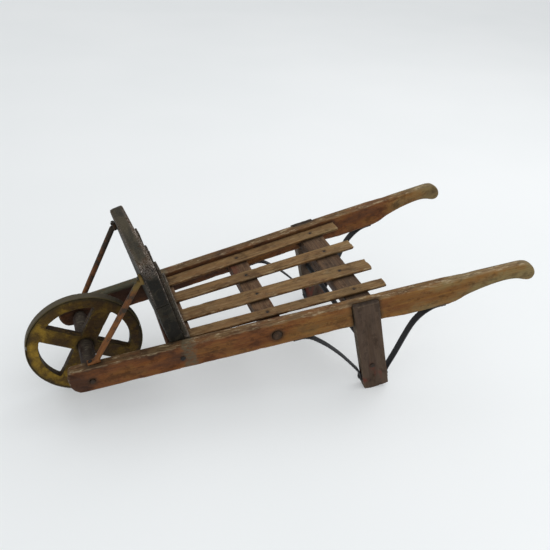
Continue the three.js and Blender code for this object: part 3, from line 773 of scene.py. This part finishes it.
def rail_tone(points, world):
    """The rear rail and the ends of all three are dark."""
    out = np.abs(points[:, 0])
    ends = ramp(out, RAIL_ENDS_FROM + 3 * MM, RAIL_ENDS_FROM + 8 * MM)
    return (0.6 - 0.36 * (world[:, 0] > REAR_OF_BED)) * (1 - 0.85 * ends)


def rail_ends(points, world):
    """The rails' ends stay clear of wear and of red paint."""
    return 0.9 * ramp(np.abs(points[:, 0]), RAIL_ENDS_FROM, RAIL_ENDS_FROM + 5 * MM)


def red_trace(points, world):
    """Patches of old red paint along the front and middle rails."""
    patches = ramp(fractal(points, (14, 30, 30), 6), 0.05, 0.35) * (world[:, 0] < REAR_OF_BED)
    return 0.7 * patches * (1 - rail_ends(points, world))


def board_tone(points, world):
    """Paler towards the top edge, darker at the ends and towards the foot: painted shade."""
    end = ramp(np.abs(points[:, 0]), BOARD_END - 6 * MM, BOARD_END - 1 * MM)
    height = ramp(points[:, 2], 20 * MM, 130 * MM)
    return (0.35 + 0.35 * height) * (1 - 0.85 * end)


def board_knocks(points, world):
    """The left top corner is knocked, and the load has rubbed the back and its top edge."""
    corner = np.array((4 * MM - BOARD_END, -12 * MM, BOARD_LOW_TOP - 1 * MM))
    knock = 1 - ramp(np.linalg.norm(points - corner, axis=1), 10 * MM, 26 * MM)
    deep = -points[:, 1]
    back = ramp(deep, BOARD_THICK - 3.1 * MM, BOARD_THICK - 0.6 * MM)
    rim = ramp(deep, BOARD_THICK - 6.6 * MM, BOARD_THICK - 2.6 * MM)
    rim *= ramp(points[:, 2], BOARD_LOW_TOP - 8 * MM, BOARD_LOW_TOP - 2 * MM)
    rim *= 1 - 0.45 * ramp(points[:, 0], 0, BOARD_END - 2 * MM)
    return np.maximum.reduce([0.75 * knock, 1.3 * rim, 0.4 * back])


def board_foot(points, world):
    """The board's ends, darkened as painted shade, keep clear of wear, more so towards its foot."""
    end = ramp(np.abs(points[:, 0]), BOARD_END - 12 * MM, BOARD_END - 4 * MM)
    return 0.9 * end * (1 - ramp(points[:, 2], 50 * MM, 100 * MM))


def rubbed(points, world):
    """A batten is rubbed all over, more so towards its top."""
    return 0.35 + 0.3 * ramp(points[:, 0], 60 * MM, 120 * MM)


def red_foot(points, world):
    """Traces of old red paint low on a leg."""
    low = 1 - ramp(world[:, 2], 25 * MM, 70 * MM)
    return low * ramp(fractal(points, (35, 70, 70), 8), -0.05, 0.35) * 0.8


def slat_tone(points, world):
    """Greyer and paler towards the open end."""
    return 0.35 + 0.35 * ramp(world[:, 0], -50 * MM, 170 * MM)


def ragged_end(mesh):
    """Broken fibres at a slat's open end."""
    points = coordinates(mesh)
    open_end = points[:, 0].max()
    depth = 2.6 * MM * ramp(fractal(points, (20, 210, 120), 9), -0.1, 0.6)
    points[:, 0] -= depth * ramp(points[:, 0], open_end - 14 * MM, open_end)
    put_coordinates(mesh, points)


def add_shaft(label, side, order):
    name = f"shaft_{label}"
    obj = carve(
        name, f"{name}_wood", shaft_axes(side), COARSE, SEEDS["shaft"] + order,
        shape=round_shaft_ends, tone=shaft_tone, chip=0.9 * MM,
        paint=green_front if side > 0 else green_band,
    )
    seat(obj, name, SHAFT_WOOD)


def add_leg(label, side, order):
    name = f"leg_{label}"
    obj = carve(name, f"{name}_wood", leg_axes(side), FINE, SEEDS["leg"] + order, paint=red_foot)
    seat(obj, name, LEG_WOOD)


def add_rail(where, order):
    name = f"rail_{where}"
    obj = carve(
        name, f"{name}_wood", rail_axes(), FINE, SEEDS["rail"] + order,
        tone=rail_tone, paint=red_trace, sound=rail_ends,
    )
    seat(obj, name, RAIL_WOOD)


def add_slat(number):
    name = f"slat_{number}"
    obj = carve(
        name, f"{name}_wood", slat_axes(number), FINE, SEEDS["slat"] + number,
        rough=0.18 * MM, chip=1.0 * MM, shape=ragged_end, tone=slat_tone,
    )
    seat(obj, name, SLAT_WOOD)


def add_plank(part, order):
    name = f"headboard_{part}"
    obj = carve(
        name, f"{name}_plank", board_axes(), FINE, SEEDS["plank"] + order, chip=0.9 * MM,
        tone=board_tone, knocked=board_knocks, sound=board_foot,
    )
    seat(obj, name, BOARD_PAINT)


def add_batten(label, order):
    name = f"batten_{label}"
    upright = board_axes(grain_up=True)
    obj = carve(name, f"{name}_strip", upright, FINE, SEEDS["batten"] + order, knocked=rubbed)
    seat(obj, name, BOARD_PAINT)


def add_sill():
    obj = carve("headboard_sill", "headboard_sill_strip", rail_axes(), FINE, SEEDS["sill"])
    seat(obj, "headboard_sill", BOARD_PAINT)


def add_frame_wood():
    for order, (label, side) in enumerate(SIDES.items()):
        add_shaft(label, side, order)
        add_leg(label, side, order)
    for order, where in enumerate(("front", "middle", "rear")):
        add_rail(where, order)
    for number in SLAT_SPREAD:
        add_slat(number)


def add_headboard():
    for order, part in enumerate(("lower", "upper")):
        add_plank(part, order)
    for order, label in enumerate(("left", "centre", "right")):
        add_batten(label, order)
    add_sill()


# ---- wheel ------------------------------------------------------------------


def wheel_paint_left(points, world):
    """How well the paint has lasted on the wheel: best at the front, below the hub."""
    radius = np.hypot(points[:, 0], points[:, 2])
    turn = np.arctan2(points[:, 2], points[:, 0])
    lower = 0.5 + 0.5 * np.cos(turn - 200 * DEG)
    rim = ramp(radius, 50 * MM, 75 * MM)
    sides = ramp(np.abs(points[:, 1]), WHEEL_HALF - 1.4 * MM, WHEEL_HALF - 0.4 * MM)
    return (0.06 + 0.26 * lower * (0.4 + 0.6 * rim)) * sides


def wheel_tone(points, world):
    """Brightest where the paint has lasted best."""
    return np.clip(0.04 + 2.0 * wheel_paint_left(points, world), 0, 1)


def tyre_paint(points, world):
    """Wheel paint carried over on to the tyre's edges."""
    return 0.9 * ramp(np.abs(points[:, 1]), WHEEL_HALF - 0.9 * MM, WHEEL_HALF - 0.4 * MM)


def add_disc():
    obj = carve(
        "wheel_disc", "wheel_disc_wood", WHEEL_AXES, FINE, SEEDS["disc"], rough=0.15 * MM,
        paint=wheel_paint_left, tone=wheel_tone,
    )
    seat(obj, "wheel_disc", WHEEL_PAINT, "wheel")


def add_barrel():
    obj = carve(
        "axle_barrel", "axle_barrel_wood", WHEEL_AXES, FINE, SEEDS["barrel"], rough=0.15 * MM,
    )
    seat(obj, "axle_barrel", HUB_WOOD, "wheel")


def add_tyre():
    obj = carve(
        "wheel_tyre", "wheel_tyre_band", WHEEL_AXES, THIN, SEEDS["tyre"],
        rough=0.05 * MM, chip=0.3 * MM, paint=tyre_paint,
    )
    seat(obj, "wheel_tyre", TYRE_IRON, "wheel")


def add_gudgeon(label):
    name = f"gudgeon_{label}"
    obj = carve(
        name, f"{name}_pin", WHEEL_AXES, FINEST, SEEDS["gudgeon"], rough=0.04 * MM, chip=0.2 * MM,
    )
    seat(obj, name, NAIL_IRON, "wheel")


def add_wheel():
    add_disc()
    add_barrel()
    add_tyre()
    for label in SIDES:
        add_gudgeon(label)


# ---- iron -------------------------------------------------------------------


def rod_axes(node):
    """Axes with x up along a bar's long way, from the spread of its points."""
    points = coordinates(frame["nodes"][node].data)
    middle = points.mean(0)
    _, vectors = np.linalg.eigh(np.cov((points - middle).T))
    longest = vectors[:, 2]
    return axes(longest * np.sign(longest[2] + 1e-9), (0.1, 0, 1), middle)


def brace_tone(points, world):
    """Rust is worst low down, and worse on the left brace than on the right."""
    low = 1 - ramp(world[:, 2], 130 * MM, 220 * MM)
    return 0.4 + 0.35 * low + 0.25 * (world[:, 1] < 0)


def brace_paint(points, world):
    """Board paint that ran over the top of the left brace."""
    return 0.65 * ramp(world[:, 2], 230 * MM, 243 * MM) * (world[:, 1] < 0)


def ease_lug(mesh):
    """Runs the rod into its flattened ends, as a hammer does."""
    points = coordinates(mesh)
    ends = ramp(np.abs(points[:, 0]), 50 * MM, 58 * MM)
    soften(mesh, 0.6 * ends, 6)


def add_brace(label, order):
    name = f"brace_{label}"
    obj = carve(
        name, f"{name}_rod", rod_axes(name), FORGED, SEEDS["brace"] + order,
        rough=0.06 * MM, chip=0.2 * MM, shape=ease_lug, tone=brace_tone, paint=brace_paint,
    )
    seat(obj, name, RUST)


def add_stay(where, label, side, order):
    name = f"stay_{where}_{label}"
    obj = carve(
        name, f"{name}_strap", side_axes(side), FORGED, SEEDS["stay"] + order,
        rough=0.05 * MM, chip=0.2 * MM,
    )
    seat(obj, name, IRON)


def add_stretcher():
    obj = carve(
        "leg_stretcher", "leg_stretcher_rod", axes((0, 1, 0), (0, 0, 1)), FORGED,
        SEEDS["stretcher"], rough=0.06 * MM, chip=0.2 * MM,
    )
    seat(obj, "leg_stretcher", IRON)


def add_irons():
    for order, (label, side) in enumerate(SIDES.items()):
        add_brace(label, order)
        for where in ("front", "rear"):
            add_stay(where, label, side, order)
    add_stretcher()


# ---- nails, screws and bolts --------------------------------------------------

TIP_RADIUS = 0.25  # of a shank's blunt point, in shank radii
TIP_RISE, TAPER = 0.2 * MM, 2.2 * MM  # where the blunt point and its taper end, from the tip
RIM, CROWN = 0.16, 0.84  # shares of a head's height
CROWN_RINGS = 7  # steps from a head's rim to its top
SLOT_LONG, SLOT_WIDE = 2.4, 0.24  # a driver slot's sides, in head radii
SLOT_DEEP, SLOT_AT = 1.1, 1.05  # its depth and the height of its middle, in head heights


def turned(profile, steps=28):
    """A closed lathe solid from (radius, height) points, both ends on the axis."""
    solid = bmesh.new()
    turns = [2 * math.pi * k / steps for k in range(steps)]
    rings = []
    for radius, height in profile:
        if radius == 0:
            rings.append([solid.verts.new((0, 0, height))] * steps)
            continue
        around = [(radius * math.cos(t), radius * math.sin(t), height) for t in turns]
        rings.append([solid.verts.new(point) for point in around])
    for low, high in zip(rings, rings[1:]):
        for k in range(steps):
            corners = [low[k], low[(k + 1) % steps], high[(k + 1) % steps], high[k]]
            solid.faces.new(list(dict.fromkeys(corners)))
    bmesh.ops.recalc_face_normals(solid, faces=solid.faces)
    mesh = bpy.data.meshes.new("turned")
    solid.to_mesh(mesh)
    solid.free()
    return mesh


def cut_slot(obj, head, dome, turn):
    """A driver slot across a screw's head."""
    box = bmesh.new()
    bmesh.ops.create_cube(box, size=1)
    size = Matrix.Diagonal((head * SLOT_LONG, head * SLOT_WIDE, dome * SLOT_DEEP, 1))
    bmesh.ops.transform(box, verts=box.verts, matrix=Matrix.Rotation(turn, 4, "Z") @ size)
    bmesh.ops.translate(box, verts=box.verts, vec=(0, 0, dome * SLOT_AT))
    mesh = bpy.data.meshes.new("slot")
    box.to_mesh(mesh)
    box.free()
    cutter = link("slot", mesh, obj.matrix_world)
    cut = obj.modifiers.new("slot", "BOOLEAN")
    cut.operation = "DIFFERENCE"
    cut.object = cutter
    applied(obj)
    bpy.data.objects.remove(cutter)


def fastener_profile(head, shank, depth, dome):
    """A pointed shank under a low domed head, as (radius, height) points from the tip up."""
    tip = -depth
    profile = [(0, tip), (shank * TIP_RADIUS, tip + TIP_RISE), (shank, tip + TAPER), (shank, 0.0)]
    profile += [(head * 0.97, 0.0), (head, dome * RIM)]
    for k in range(1, CROWN_RINGS):
        turn = k / CROWN_RINGS * math.pi / 2
        height = dome * (RIM + CROWN * math.sin(turn))
        profile.append((head * math.cos(turn) ** 0.8, height))
    return profile + [(0, dome)]


def add_fastener(node, seed):
    """A turned nail, screw or bolt in its node's place, its head faintly dented."""
    at, axis, head, shank, depth, dome = fastener_lie(node)
    profile = fastener_profile(head, shank, depth, dome)
    helper = Vector((1, 0, 0) if abs(axis[0]) < 0.8 else (0, 1, 0))
    across = helper - Vector(axis) * helper.dot(Vector(axis))
    obj = link(f"{node}_head", turned(profile), axes(across, axis, at))
    if "screw" in node:
        cut_slot(obj, head, dome, seed * 0.7)
    mesh = obj.data
    points = coordinates(mesh)
    dents = fractal(points + seed, (420, 420, 420), seed, 2)
    put_coordinates(mesh, points + normals(mesh) * (0.08 * MM * dents)[:, None])
    for name in FIELDS:
        put_field(mesh, name, np.zeros(len(points)))
    seat(obj, node, IRON if "stay" in node else NAIL_IRON)


def add_fasteners():
    for order, node in enumerate(FASTENERS):
        add_fastener(node, order)


# ---- studio -----------------------------------------------------------------

FLOOR_REACH = 9
FLOOR_GLOW = (0.8, 0.82, 0.825, 1)
FLOOR_GLOW_STRENGTH = 0.32
SURROUND = (0.965, 0.985, 1, 1)
SURROUND_STRENGTH = 0.72


def add_floor():
    """A plain pale floor with a faint glow, which keeps the shadows on it soft."""
    mesh = bpy.data.meshes.new("floor")
    ring = [(-FLOOR_REACH, -FLOOR_REACH, 0), (FLOOR_REACH, -FLOOR_REACH, 0)]
    ring += [(FLOOR_REACH, FLOOR_REACH, 0), (-FLOOR_REACH, FLOOR_REACH, 0)]
    mesh.from_pydata(ring, [], [(0, 1, 2, 3)])
    floor = link("floor", mesh)
    s = Shader("floor_paper", specular=0.2)
    cloud = s.noise((1.5, 1.5, 1.5), 2)
    tone = s.ramp(cloud, [(0.3, (0.59, 0.605, 0.61)), (0.7, (0.62, 0.63, 0.635))])
    tooth = s.noise((700, 700, 700), 3)
    s.finish(tone, 0.8, s.bump(tooth, 0.05 * MM))
    s.surface.inputs["Emission Color"].default_value = FLOOR_GLOW
    s.surface.inputs["Emission Strength"].default_value = FLOOR_GLOW_STRENGTH
    mesh.materials.append(s.material)


def add_surround():
    world = bpy.data.worlds.new("surround")
    world.use_nodes = True
    background = world.node_tree.nodes["Background"]
    background.inputs["Color"].default_value = SURROUND
    background.inputs["Strength"].default_value = SURROUND_STRENGTH
    bpy.context.scene.world = world


def add_lamp(name, at, aim, size, power):
    data = bpy.data.lights.new(name, "AREA")
    data.size = size
    data.energy = power
    lamp = bpy.data.objects.new(name, data)
    towards = Vector(aim) - Vector(at)
    turn = towards.to_track_quat("-Z", "Y").to_matrix().to_4x4()
    lamp.matrix_world = Matrix.Translation(at) @ turn
    bpy.context.scene.collection.objects.link(lamp)


def add_studio():
    """A pale floor and surround, a broad light overhead and a weaker one from the left."""
    add_floor()
    add_surround()
    add_lamp("key", at=(1.1, 0.2, 1.9), aim=(0.15, 0, 0.05), size=2.2, power=18)
    add_lamp("fill", at=(0.2, -1.9, 1.3), aim=(0, -0.2, 0.1), size=2.0, power=9)


add_frame_wood()
add_headboard()
add_wheel()
add_irons()
add_fasteners()
add_studio()
bpy.context.scene.view_settings.view_transform = "Standard"
